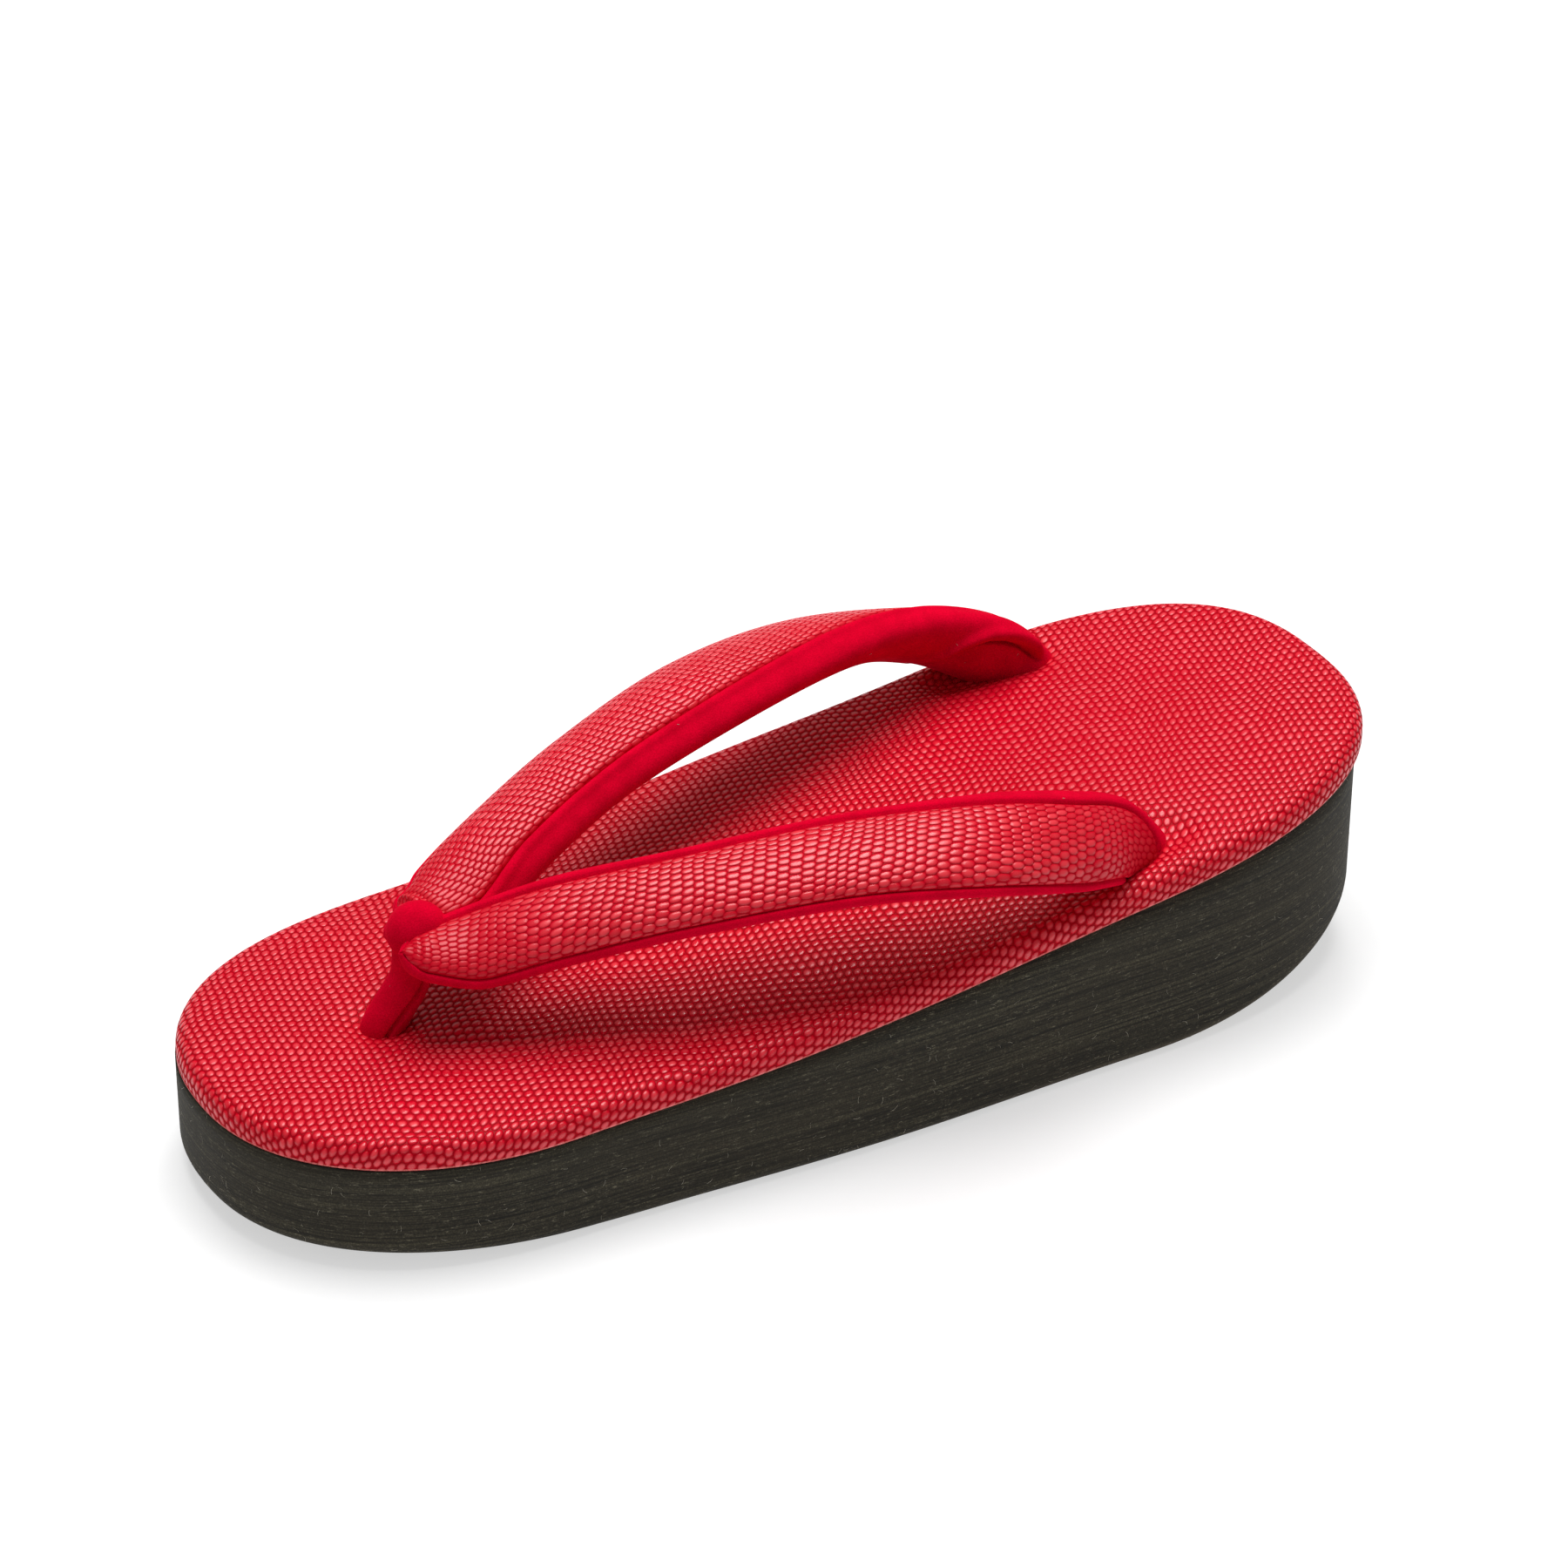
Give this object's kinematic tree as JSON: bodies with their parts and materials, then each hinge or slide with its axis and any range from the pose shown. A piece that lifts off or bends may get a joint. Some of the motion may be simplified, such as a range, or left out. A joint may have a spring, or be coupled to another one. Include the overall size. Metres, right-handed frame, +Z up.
{
  "type": "zori sandal",
  "caption": "Zori sandal: a padded V strap, held down by a toe loop, over an embossed padded top on a dark wedge sole that stands on the floor.",
  "frame": {"origin": "on the floor, under the middle of the sandal", "axes": "+Z up, +Y towards the heel (the toe points to -Y), +X towards the wearer's left"},
  "size_m": [0.098, 0.238, 0.0611],
  "materials": {
    "sole_foam": "matt charcoal foam with fine lengthwise streaks",
    "top_leather": "red leather-cloth embossed with small raised cells, semi-gloss",
    "strap_velvet": "crimson velvet",
    "strap_leather": "red leather-cloth embossed with larger cells along the strap, semi-gloss",
    "loop_velvet": "crimson velvet"
  },
  "bodies": {
    "root": {"sole": "sole_foam", "padded_top": "top_leather", "strap_lining": "strap_velvet", "strap_face_left": "strap_leather", "strap_face_right": "strap_leather", "toe_loop": "loop_velvet"}
  },
  "joints": []
}
